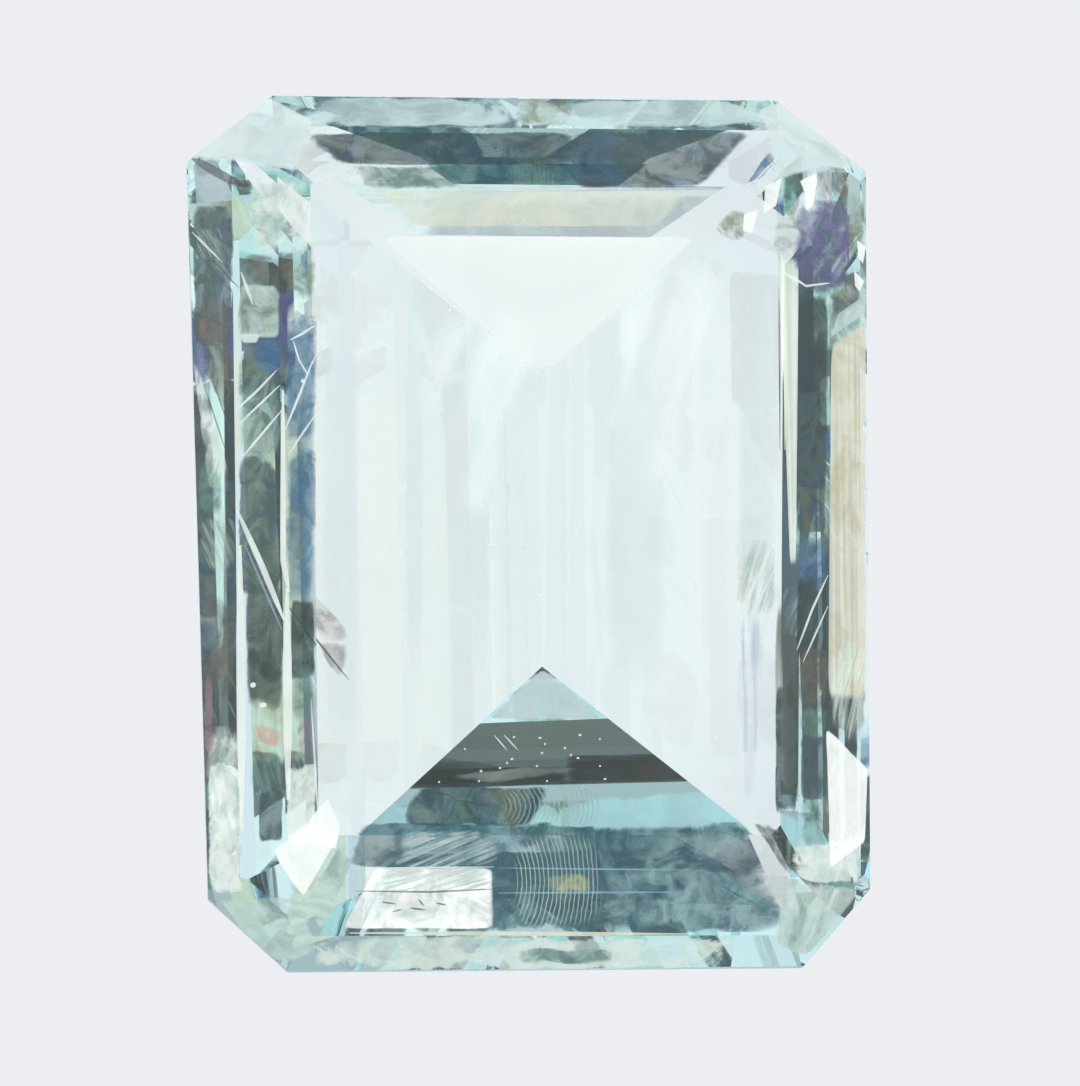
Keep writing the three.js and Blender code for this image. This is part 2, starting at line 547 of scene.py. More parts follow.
@dataclass(frozen=True)
class FilmFinish:
    """A thin film in a healed crack, glowing with its own colour as painted light. Its colours are partly
    the crack's own and partly painted reflection of the dim surroundings.

    cover is how much the film hides where it is densest, and least the share of that which it hides
    everywhere. soft_edge is the width of its fading rim as a share of the film, ragged how torn the rim
    is, and a high squareness leaves its corners square. turned is the fibres' slant in degrees, and glow
    is the strength of the film's painted light.
    """

    name: str
    colours: tuple
    cover: float
    pattern: Pattern = Pattern.WISPS
    scale: float = 3000.0
    soft_edge: float = 0.12
    turned: float = 0.0
    least: float = 0.0
    ragged: float = 0.7
    squareness: float = 4.0
    glow: float = 0.95

    def material(self) -> bpy.types.Material:
        """Make the film's material.

        Returns:
            The material.
        """
        material, shader = new_material(self.name)
        place = shader.add("TexCoord").outputs["Object"]
        sheet = shader.add("UVMap").outputs[0]
        noise = shader.noise(place, self.scale * COLOUR_COARSENESS, WISP_DETAIL, roughness=WISP_ROUGHNESS,
                             distortion=COLOUR_DISTORTION).outputs["Fac"]
        first, last = COLOUR_SPAN
        step = (last - first) / (len(self.colours) - 1)
        stops = {first + step * index: colour for index, colour in enumerate(self.colours)}
        colour = shader.ramp(noise, stops)
        cover = self.coverage(shader, place, sheet)
        if self.soft_edge:
            cover = shader.math("MULTIPLY", cover, self.rim(shader, noise, sheet))
        # The film gives off its own colour at glow strength: painted light, since nothing inside the
        # glass lights it.
        film = shader.add("BsdfPrincipled", {
            "Base Color": colour,
            "Roughness": FILM_ROUGHNESS,
            "Specular IOR Level": 0.0,
            "Emission Color": colour,
            "Emission Strength": self.glow,
            "Alpha": cover,
        })
        shader.add("OutputMaterial", {"Surface": film.outputs[0]})
        return material

    def rim(self, shader: Shader, noise: Socket, sheet: Socket) -> Socket:
        """Fade the film out raggedly towards the sides of its sheet, whose corners are cut round.

        Args:
            shader: The tree's writer.
            noise: What tears the rim.
            sheet: The film's own map.

        Returns:
            A value from 0 outside the rim to 1 inside it.
        """
        rag = shader.math("MULTIPLY", shader.math("SUBTRACT", noise, 0.5), self.ragged)
        torn = shader.add("VectorMath", {0: sheet, 1: rag}, operation="ADD").outputs[0]
        parts = shader.add("SeparateXYZ", {0: torn})
        sides = []
        for axis in ("X", "Y"):
            from_middle = shader.math("MULTIPLY_ADD", parts.outputs[axis], 2.0, -1.0)
            sides.append(shader.math("POWER", from_middle, self.squareness))
        inner = (1 - 2 * self.soft_edge) ** self.squareness
        return shader.blend(shader.math("ADD", *sides), (1.0, inner))

    def coverage(self, shader: Shader, place: Socket, sheet: Socket) -> Socket:
        """Give how much the film hides at each place.

        Args:
            shader: The tree's writer.
            place: Object coordinates.
            sheet: The film's own map.

        Returns:
            A value from 0 to 1.
        """
        if self.pattern is Pattern.FIBRES:
            noise = self.fibres(shader, sheet)
        elif self.pattern is Pattern.RIPPLES:
            noise = self.ripples(shader, sheet)
        elif self.pattern is Pattern.CRACKLE:
            noise = self.crackle(shader, place)
        elif self.pattern is Pattern.EVEN:
            noise = shader.noise(place, self.scale, EVEN_DETAIL).outputs["Fac"]
        else:
            noise = shader.noise(place, self.scale, WISP_DETAIL, roughness=WISP_ROUGHNESS,
                                 distortion=WISP_DISTORTION).outputs["Fac"]
        least = LEAST_COVER.get(self.pattern, self.least)
        return shader.blend(noise, COVER_SPAN, (self.cover * least, self.cover))

    def fibres(self, shader: Shader, sheet: Socket) -> Socket:
        """Give long streaks along the film, slanted by turned.

        Args:
            shader: The tree's writer.
            sheet: The film's own map.

        Returns:
            A value from 0 to 1.
        """
        turn = (0, 0, math.radians(self.turned))
        fibre = (FIBRE_WIDTH / self.scale, FIBRE_LENGTH, 1.0)
        along = shader.add("Mapping", {"Vector": sheet, "Rotation": turn, "Scale": fibre},
                           vector_type="TEXTURE").outputs[0]
        detail = FINE_FIBRE_DETAIL if self.scale > FINE_FIBRE_SCALE else BROAD_FIBRE_DETAIL
        return shader.noise(along, 1.0, detail).outputs["Fac"]

    def ripples(self, shader: Shader, sheet: Socket) -> Socket:
        """Give thin arcs about a point beside the film.

        Args:
            shader: The tree's writer.
            sheet: The film's own map.

        Returns:
            A value from 0 to 1.
        """
        moved = shader.add("Mapping", {"Vector": sheet, "Location": ARC_PLACE, "Scale": ARC_SHAPE})
        wave = shader.add("TexWave", {"Vector": moved.outputs[0], "Scale": ARC_SCALE,
                                      "Distortion": ARC_DISTORTION, "Detail": ARC_DETAIL,
                                      "Detail Scale": ARC_DETAIL_SCALE},
                          wave_type="RINGS", rings_direction="SPHERICAL")
        return shader.math("POWER", wave.outputs["Fac"], ARC_SHARPNESS)

    def crackle(self, shader: Shader, place: Socket) -> Socket:
        """Give a net of small bent cells.

        Args:
            shader: The tree's writer.
            place: Object coordinates.

        Returns:
            A value from 0 to 1.
        """
        bent = shader.noise(place, self.scale * BEND_COARSENESS, BEND_DETAIL).outputs["Color"]
        moved = shader.add("VectorMath", {0: bent, 1: (BEND, BEND, BEND), 2: place},
                           operation="MULTIPLY_ADD").outputs[0]
        cells = shader.add("TexVoronoi", {"Vector": moved, "Scale": self.scale}, feature="F1")
        return cells.outputs["Distance"]


@dataclass(frozen=True)
class Film:
    """One thin film, by the four pixels of the photograph at its corners, clockwise from the upper left.

    depth is in millimetres under the facet, and steps are the squares of its grid across and down.
    """

    finish: FilmFinish
    corners: tuple
    depth: float
    steps: tuple = (8, 8)


@dataclass(frozen=True)
class Streak:
    """One thin needle or crack edge, by the pixels of the photograph that it runs through.

    width is in those pixels and depth in millimetres under the facet. Bright and cream streaks along
    facet edges are painted highlights, and every streak glows as painted light.
    """

    finish: FilmFinish
    points: tuple
    width: float
    depth: float


@dataclass(frozen=True)
class Specks:
    """Small crystals inside the stone, by the pixels where the photograph shows them.

    radius is in those pixels and depth in millimetres under the facet.
    """

    finish: FilmFinish
    spots: tuple
    radius: float
    depth: float


# The films' finishes, the strong ones first, then the pale ones and those of needles and specks

# Every finish glows as painted light. The dark and coloured ones are partly the inclusions' own colour
# and partly painted reflection of the dim surroundings. The glint and glare finishes are painted glints,
# and the bright and cream needle finishes also paint highlights along facet edges.
GOLDEN = FilmFinish("golden_film", (tone(222, 223, 195), tone(229, 232, 213), tone(210, 202, 166)), 0.97,
                    pattern=Pattern.FIBRES, scale=1500.0, soft_edge=0.03, turned=5.0, least=0.75,
                    ragged=0.04, squareness=16.0)
NAVY = FilmFinish("navy_film", (tone(38, 72, 86), tone(66, 100, 122), tone(70, 86, 84), tone(48, 84, 88)),
                  0.96, scale=2200.0, soft_edge=0.05, least=0.72, ragged=0.1, squareness=10.0)
PURPLE = FilmFinish("purple_film", (tone(72, 66, 128), tone(104, 93, 148), tone(62, 90, 118),
                    tone(128, 126, 134)), 0.94, scale=2200.0, least=0.65)
SLATE = FilmFinish("slate_film", (tone(28, 54, 56), tone(54, 86, 80), tone(38, 70, 90), tone(84, 98, 80)),
                   0.95, scale=2000.0, soft_edge=0.06, least=0.78, ragged=0.3, squareness=8.0)
BLACKISH = FilmFinish("blackish_film", (tone(18, 42, 44), tone(34, 60, 58), tone(28, 48, 62)), 0.95,
                      scale=1600.0, soft_edge=0.08, least=0.8, ragged=0.3, squareness=8.0)
UMBER = FilmFinish("umber_film", (tone(56, 70, 62), tone(92, 92, 78), tone(46, 64, 62),
                   tone(122, 128, 114)), 0.88, scale=1800.0, least=0.55)
DEEP = FilmFinish("deep_teal_film", (tone(28, 66, 78), tone(56, 102, 110), tone(38, 80, 98),
                  tone(82, 126, 130)), 0.96, scale=1700.0, soft_edge=0.06, least=0.66, ragged=0.4,
                  squareness=10.0)
BROWN = FilmFinish("brown_film", (tone(96, 80, 66), tone(128, 108, 92), tone(84, 84, 72)), 0.8,
                   scale=2000.0, soft_edge=0.3, least=0.3)
TAN = FilmFinish("tan_film", (tone(196, 202, 180), tone(210, 218, 202)), 0.6, scale=1500.0, soft_edge=0.3)
TEAL = FilmFinish("teal_film", (tone(56, 100, 100), tone(88, 134, 122), tone(48, 88, 98)), 0.85,
                  scale=2200.0, soft_edge=0.2, least=0.4)
BLUE = FilmFinish("blue_film", (tone(34, 82, 124), tone(72, 124, 158), tone(42, 78, 102)), 0.9,
                  scale=2000.0, soft_edge=0.16, least=0.55)
GREEN = FilmFinish("green_film", (tone(84, 108, 84), tone(112, 128, 92), tone(70, 96, 90)), 0.75,
                   scale=2200.0, soft_edge=0.25, least=0.2)
MAUVE = FilmFinish("mauve_film", (tone(118, 98, 112), tone(146, 122, 128), tone(104, 104, 126)), 0.75,
                   scale=2000.0, soft_edge=0.2, least=0.2)
SALMON = FilmFinish("salmon_film", (tone(196, 154, 136), tone(214, 180, 160)), 0.85, scale=2000.0,
                    soft_edge=0.25, least=0.5)
YELLOW = FilmFinish("yellow_film", (tone(168, 176, 128), tone(202, 206, 160)), 0.75, scale=2000.0,
                    soft_edge=0.2, least=0.3)
CREAMY = FilmFinish("creamy_film", (tone(202, 221, 217), tone(229, 235, 217), tone(212, 226, 214)), 0.85,
                    scale=900.0, soft_edge=0.06, least=0.6, ragged=0.06, squareness=14.0)
GREYISH = FilmFinish("greyish_film", (tone(190, 208, 208), tone(214, 228, 228)), 0.85, scale=900.0,
                     soft_edge=0.02, least=0.75, ragged=0.02, squareness=20.0)
PALE = FilmFinish("pale_film", (tone(204, 222, 220), tone(226, 240, 236)), 0.92, pattern=Pattern.EVEN,
                  scale=1800.0)
# Painted glints: near-white patches, glowing stronger than the other films, that stand for light caught
# by the facets.
PAINTED_GLINT = FilmFinish("painted_glint_film", (tone(240, 250, 246), tone(252, 255, 253), tone(246, 253, 250)), 0.96,
                   scale=1500.0, soft_edge=0.02, least=0.85, ragged=0.06, squareness=20.0, glow=1.04)
MIST = FilmFinish("mist_film", (tone(212, 234, 235), tone(226, 243, 242), tone(218, 238, 238)), 0.88,
                  scale=800.0, soft_edge=0.06, least=0.8, ragged=0.3, squareness=10.0)
CURLED = FilmFinish("curled_film", (tone(196, 218, 208), tone(240, 250, 244), tone(222, 238, 231)), 0.93,
                    scale=2300.0, soft_edge=0.08, least=0.7, ragged=0.4, squareness=8.0)
MOSSY = FilmFinish("mossy_film", (tone(140, 174, 166), tone(204, 226, 218), tone(172, 202, 194)), 0.9,
                   scale=1500.0, soft_edge=0.08, least=0.75, ragged=0.4, squareness=8.0)
HAZE = FilmFinish("haze_film", (tone(250, 254, 255), tone(252, 255, 255)), 0.6, pattern=Pattern.EVEN,
                  scale=600.0, soft_edge=0.01, ragged=0.03, squareness=20.0)
FROSTED = FilmFinish("frosted_film", (tone(206, 228, 218), tone(236, 248, 241), tone(170, 200, 192)), 0.9,
                     scale=1900.0, soft_edge=0.2, least=0.35)
STRIPED = FilmFinish("striped_film", (tone(168, 190, 186), tone(214, 228, 222)), 0.7,
                     pattern=Pattern.FIBRES, scale=1250.0, soft_edge=0.2, turned=-34.0, ragged=0.4)
STRIPED_BACK = FilmFinish("striped_back_film", (tone(120, 140, 136), tone(196, 212, 204)), 0.7,
                          pattern=Pattern.FIBRES, scale=1400.0, soft_edge=0.2, turned=32.0)
DARK_STRIPED = FilmFinish("dark_striped_film", (tone(70, 84, 80), tone(96, 100, 92)), 0.85,
                          pattern=Pattern.FIBRES, scale=500.0, soft_edge=0.1, least=0.4)
BLUE_STRIPED = FilmFinish("blue_striped_film", (tone(168, 192, 214), tone(196, 214, 228)), 0.7,
                          pattern=Pattern.FIBRES, scale=800.0, soft_edge=0.2)
SILVER = FilmFinish("silver_film", (tone(150, 176, 178), tone(206, 222, 220)), 0.8,
                    pattern=Pattern.FIBRES, scale=2000.0, soft_edge=0.1, turned=-38.0)
# Painted glare: a bright patch, glowing stronger than the other films, that stands for light caught by
# the facets.
GLARE = FilmFinish("glare_film", (tone(214, 234, 226), tone(250, 254, 250), tone(255, 255, 250)), 0.97,
                   scale=2200.0, soft_edge=0.03, least=0.6, ragged=0.05, squareness=16.0, glow=1.04)
VEIL = FilmFinish("veil_film", (tone(244, 249, 249), tone(250, 252, 252)), 0.5, pattern=Pattern.FIBRES,
                  scale=560.0, soft_edge=0.3, turned=-28.0)
GLASSY = FilmFinish("glassy_film", (tone(214, 232, 221), tone(238, 250, 240), tone(224, 240, 229)), 0.97,
                    pattern=Pattern.FIBRES, scale=700.0, soft_edge=0.04, least=0.8, ragged=0.02,
                    squareness=16.0)
BANDS = FilmFinish("band_film", (tone(212, 226, 229), tone(220, 232, 234)), 0.5, pattern=Pattern.EVEN,
                   scale=900.0, soft_edge=0.3, ragged=0.1)
SWOOSH = FilmFinish("swoosh_film", (tone(112, 126, 126), tone(146, 158, 156)), 0.7, scale=1100.0,
                    soft_edge=0.3, least=0.4)
ARCS = FilmFinish("arc_film", (tone(150, 176, 174), tone(200, 214, 204)), 0.6, pattern=Pattern.RIPPLES,
                  scale=1500.0, ragged=0.2)
SWIRLS = FilmFinish("swirl_film", (tone(104, 140, 147), tone(146, 176, 177), tone(74, 112, 122)), 0.62,
                    scale=2600.0, soft_edge=0.15)
CRAZED = FilmFinish("crazed_film", (tone(196, 218, 210), tone(224, 240, 230), tone(208, 228, 218)), 0.85,
                    pattern=Pattern.CRACKLE, scale=2600.0, soft_edge=0.08)
CLOUDED = FilmFinish("clouded_film", (tone(186, 216, 218), tone(208, 234, 233), tone(196, 224, 226)),
                     0.85, scale=1100.0, soft_edge=0.08, least=0.6)
PINK = FilmFinish("feather_film", (tone(134, 122, 118), tone(160, 144, 134), tone(126, 122, 138)), 0.75,
                  scale=1500.0, soft_edge=0.3, least=0.3)
# Bright needles and specks, and painted highlights along facet edges drawn as bright needles.
BRIGHT = FilmFinish("bright_needle_and_edge_highlight", (tone(230, 244, 238), tone(246, 252, 248)), 0.92,
                    pattern=Pattern.EVEN, scale=1500.0, soft_edge=0.0)
DARK = FilmFinish("dark_needle", (tone(58, 72, 76), tone(82, 88, 84)), 0.8, pattern=Pattern.EVEN,
                  scale=1500.0, soft_edge=0.0)
BLUISH = FilmFinish("bluish_needle", (tone(120, 160, 186), tone(146, 182, 198)), 0.85,
                    pattern=Pattern.EVEN, scale=1500.0, soft_edge=0.0)
# Painted highlights along facet edges, drawn as glowing cream needles.
CREAM_EDGE_HIGHLIGHT = FilmFinish("cream_edge_highlight", (tone(222, 226, 200), tone(236, 240, 220)), 0.85, pattern=Pattern.EVEN,
                   scale=1500.0, soft_edge=0.0)
LIGHT_GREEN = FilmFinish("light_green_needle", (tone(166, 182, 160), tone(186, 198, 176)), 0.7,
                         pattern=Pattern.EVEN, scale=1500.0, soft_edge=0.0)


# What lies inside the stone, by the pixels of the photograph where it is seen, region by region

def box(left: float, top: float, right: float, bottom: float, lean: float = 0.0) -> tuple:
    """Give the corners of an upright patch of the photograph.

    Args:
        left: Its left edge, in pixels, as all of these are.
        top: Its top edge.
        right: Its right edge.
        bottom: Its bottom edge.
        lean: How far its top is moved to the right.

    Returns:
        The four corners, clockwise from the upper left.
    """
    return (left + lean, top), (right + lean, top), (right, bottom), (left, bottom)


# Besides real inclusions, these films hold painted reflections of the dim surroundings in the crown steps
# and painted glints, all glowing as painted light.
TOP_END_FILMS = (
    Film(NAVY, ((572, 131), (754, 131), (702, 187), (572, 187)), 0.07, steps=(10, 3)),
    Film(SLATE, ((302, 132), (580, 132), (580, 165), (330, 165)), 0.07, steps=(10, 3)),
    Film(TEAL, ((332, 165), (476, 165), (470, 188), (348, 188)), 0.06, steps=(10, 3)),
    Film(CREAMY, ((372, 190), (694, 190), (660, 227), (410, 227)), 0.25, steps=(10, 3)),
    Film(CLOUDED, box(290, 98, 520, 127), 0.06, steps=(10, 3)),
    Film(CLOUDED, box(560, 98, 764, 127), 0.06, steps=(10, 3)),
    Film(CLOUDED, box(516, 98, 566, 127), 0.06),
    Film(GREEN, box(512, 98, 572, 127), 0.05),
)
RIGHT_LOWEST_STEP_FILMS = (
    Film(GOLDEN, ((831, 343), (866, 314), (866, 700), (828, 700)), 0.06, steps=(3, 24)),
    Film(GREYISH, ((830, 338), (866, 312), (866, 294), (838, 314)), 0.05),
    Film(STRIPED, box(831, 640, 864, 745), 0.05),
    Film(UMBER, box(829, 688, 866, 732), 0.07),
    Film(UMBER, ((829, 288), (864, 274), (864, 300), (832, 326)), 0.06),
    Film(PAINTED_GLINT, ((826, 727), (868, 768), (865, 842), (830, 868)), 0.05, steps=(4, 4)),
)
RIGHT_UPPER_END_FILMS = (
    Film(PURPLE, box(793, 200, 850, 292), 0.06),
    Film(GREEN, box(842, 190, 866, 262), 0.05),
    Film(BROWN, box(818, 165, 848, 200), 0.06),
    Film(TEAL, box(783, 172, 801, 216), 0.06),
    Film(GREEN, box(776, 204, 797, 252), 0.06),
    Film(PAINTED_GLINT, ((803, 178), (819, 171), (813, 206), (806, 211)), 0.05),
    Film(PAINTED_GLINT, ((857, 240), (866, 247), (863, 264), (858, 257)), 0.04),
    Film(PAINTED_GLINT, ((854, 270), (864, 281), (860, 292), (855, 286)), 0.04),
    Film(BLUE, ((768, 150), (776, 158), (762, 178), (744, 187)), 0.06),
    Film(GREEN, ((712, 230), (732, 207), (762, 216), (736, 251)), 0.06),
    Film(PAINTED_GLINT, ((744, 214), (759, 209), (752, 234), (743, 231)), 0.05),
    Film(PAINTED_GLINT, ((765, 186), (782, 178), (776, 206), (764, 212)), 0.05),
)
RIGHT_UPPER_STEP_FILMS = (
    Film(BLACKISH, box(797, 296, 828, 400), 0.08),
    Film(SLATE, box(797, 390, 827, 490), 0.07),
    Film(SLATE, box(797, 476, 827, 532), 0.06),
    Film(BLUE, box(798, 530, 826, 592), 0.06),
    Film(BLACKISH, box(797, 576, 828, 660), 0.08),
    Film(UMBER, box(797, 646, 828, 712), 0.06),
    Film(TEAL, box(800, 706, 828, 740), 0.06),
    Film(SLATE, box(800, 735, 828, 800), 0.07),
    Film(TEAL, box(799, 794, 828, 852), 0.06),
    Film(SLATE, box(777, 686, 797, 814), 0.08),
    Film(DARK_STRIPED, box(776, 600, 797, 790), 0.06, steps=(2, 10)),
    Film(GLASSY, ((779, 256), (799, 256), (796, 566), (790, 566)), 0.06, steps=(2, 14)),
    Film(BANDS, box(737, 252, 776, 640), 0.3, steps=(2, 12)),
    Film(STRIPED, box(738, 540, 775, 622), 0.07),
    Film(TAN, box(735, 552, 760, 606), 0.08),
    Film(BLUE_STRIPED, box(738, 612, 764, 752), 0.07, steps=(3, 8)),
)
LEFT_LOWEST_STEP_FILMS = (
    Film(SLATE, box(192, 206, 233, 346), 0.07, steps=(4, 8)),
    Film(BROWN, box(196, 296, 233, 344), 0.06),
    Film(UMBER, ((196, 344), (233, 344), (233, 420), (216, 400)), 0.07),
    Film(BROWN, ((210, 350), (228, 354), (230, 392), (208, 388)), 0.06),
    Film(FROSTED, ((191, 354), (202, 366), (234, 494), (208, 486)), 0.05, steps=(3, 10)),
    Film(FROSTED, box(206, 726, 241, 850), 0.05),
    Film(TEAL, box(198, 458, 222, 520), 0.06),
    Film(STRIPED_BACK, box(199, 516, 235, 572), 0.05),
    Film(UMBER, box(199, 594, 235, 702), 0.06, steps=(4, 10)),
    Film(MAUVE, box(204, 676, 213, 762), 0.05, steps=(2, 8)),
    Film(STRIPED_BACK, box(194, 228, 222, 262), 0.05),
)
LEFT_UPPER_STEP_FILMS = (
    Film(MOSSY, box(238, 284, 281, 338), 0.09),
    Film(GREEN, box(238, 290, 280, 334), 0.07),
    Film(PALE, ((239, 334), (262, 334), (258, 343), (242, 343)), 0.05),
    Film(BLUE, box(252, 338, 279, 374), 0.06),
    Film(GREEN, box(237, 352, 263, 400), 0.06),
    Film(TEAL, box(238, 360, 281, 472), 0.045),
    Film(STRIPED, box(238, 368, 280, 466), 0.05),
    Film(SLATE, box(238, 456, 280, 600), 0.07, steps=(4, 10)),
    Film(BLACKISH, box(246, 582, 283, 712), 0.07, steps=(4, 10)),
    Film(BROWN, box(299, 394, 313, 420), 0.06),
    Film(GREEN, box(286, 246, 315, 302), 0.06),
    Film(BLUE, box(285, 312, 316, 446), 0.045),
    Film(STRIPED, box(285, 352, 315, 458), 0.05),
    Film(FROSTED, ((286, 300), (314, 292), (314, 346), (288, 352)), 0.05),
    Film(BLUE, box(285, 446, 315, 606), 0.06, steps=(4, 10)),
    Film(GREEN, box(290, 490, 306, 560), 0.05),
    Film(BLACKISH, box(290, 600, 315, 680), 0.07),
    Film(TEAL, box(292, 664, 314, 724), 0.06),
    Film(MAUVE, box(297, 718, 313, 754), 0.06),
    Film(CURLED, box(286, 764, 317, 846), 0.05),
    Film(SALMON, ((250, 722), (284, 730), (280, 750), (252, 742)), 0.05),
    Film(TEAL, box(250, 746, 282, 796), 0.06),
    Film(SLATE, box(259, 790, 283, 842), 0.06),
    Film(PINK, ((300, 577), (324, 600), (354, 640), (316, 642)), 0.35),
    Film(PINK, ((316, 640), (354, 640), (343, 680), (328, 664)), 0.35),
)
TABLE_FILMS = (
    Film(HAZE, ((376, 236), (700, 236), (552, 368), (530, 368)), 0.6, steps=(14, 8)),
    Film(VEIL, box(596, 252, 712, 500, 34), 1.6),
    Film(VEIL, box(400, 300, 540, 520, 30), 1.9),
    Film(PALE, ((709, 262), (716, 259), (724, 268), (715, 279)), 1.2),
    Film(BANDS, box(322, 244, 360, 800), 1.0, steps=(2, 12)),
    Film(BANDS, box(405, 240, 424, 690), 2.0, steps=(2, 12)),
    Film(BANDS, box(468, 300, 490, 680), 2.0, steps=(2, 12)),
    Film(BANDS, box(604, 320, 668, 700), 1.8, steps=(2, 12)),
)
BOTTOM_TABLE_FILMS = (
    Film(SWOOSH, ((440, 776), (520, 766), (592, 768), (500, 784)), 0.3, steps=(10, 3)),
    Film(SLATE, box(400, 786, 536, 826, 16), 0.35, steps=(8, 3)),
    Film(ARCS, box(500, 784, 600, 830), 0.3),
    Film(GREYISH, ((541, 671), (545, 671), (604, 719), (488, 719)), 0.3, steps=(6, 6)),
    Film(DEEP, ((362, 827), (494, 827), (494, 868), (338, 868)), 0.3, steps=(8, 3)),
    Film(SILVER, box(392, 832, 494, 868, 10), 0.24),
    Film(SILVER, box(380, 868, 494, 892), 0.22),
    Film(DEEP, ((452, 827), (744, 827), (792, 932), (452, 932)), 0.3, steps=(12, 6)),
    Film(SWIRLS, ((640, 832), (742, 830), (782, 928), (620, 926)), 0.26, steps=(8, 6)),
    Film(SWIRLS, box(600, 868, 700, 926), 0.24, steps=(6, 4)),
    Film(ARCS, box(512, 834, 604, 930), 0.24),
    Film(YELLOW, box(548, 874, 594, 892), 0.22),
    Film(GLARE, ((374, 868), (494, 868), (494, 929), (342, 929)), 0.25, steps=(8, 4)),
)
BOTTOM_STEP_FILMS = (
    Film(CRAZED, ((316, 936), (752, 936), (742, 971), (304, 971)), 0.06, steps=(24, 3)),
    Film(TEAL, box(512, 948, 612, 964), 0.05),
)
LOWER_CORNER_FILMS = (
    Film(PAINTED_GLINT, ((270, 850), (306, 824), (338, 840), (303, 900)), 0.06),
    Film(PAINTED_GLINT, ((298, 834), (328, 797), (340, 826), (336, 852)), 0.06),
    Film(CURLED, box(208, 762, 241, 896), 0.05, steps=(3, 10)),
    Film(MOSSY, ((338, 846), (352, 862), (322, 932), (302, 904)), 0.05),
    Film(MOSSY, ((212, 898), (300, 898), (318, 962), (276, 964)), 0.05, steps=(6, 4)),
    Film(MOSSY, ((784, 884), (864, 888), (806, 958), (776, 958)), 0.05, steps=(6, 4)),
    Film(CURLED, ((792, 846), (860, 842), (862, 884), (802, 882)), 0.05, steps=(6, 4)),
    Film(UMBER, ((752, 824), (770, 822), (808, 862), (788, 874)), 0.05),
)
UPPER_CORNER_FILMS = (
    Film(MIST, ((250, 99), (316, 99), (280, 168), (188, 158)), 0.04, steps=(8, 6)),
    Film(MIST, ((758, 100), (800, 106), (866, 170), (783, 168)), 0.04, steps=(8, 6)),
    Film(FROSTED, ((248, 170), (292, 170), (332, 256), (250, 258)), 0.05, steps=(6, 6)),
)
FILMS = (*TOP_END_FILMS, *RIGHT_LOWEST_STEP_FILMS, *RIGHT_UPPER_END_FILMS, *RIGHT_UPPER_STEP_FILMS,
         *LEFT_LOWEST_STEP_FILMS, *LEFT_UPPER_STEP_FILMS, *TABLE_FILMS, *BOTTOM_TABLE_FILMS,
         *BOTTOM_STEP_FILMS, *LOWER_CORNER_FILMS, *UPPER_CORNER_FILMS)

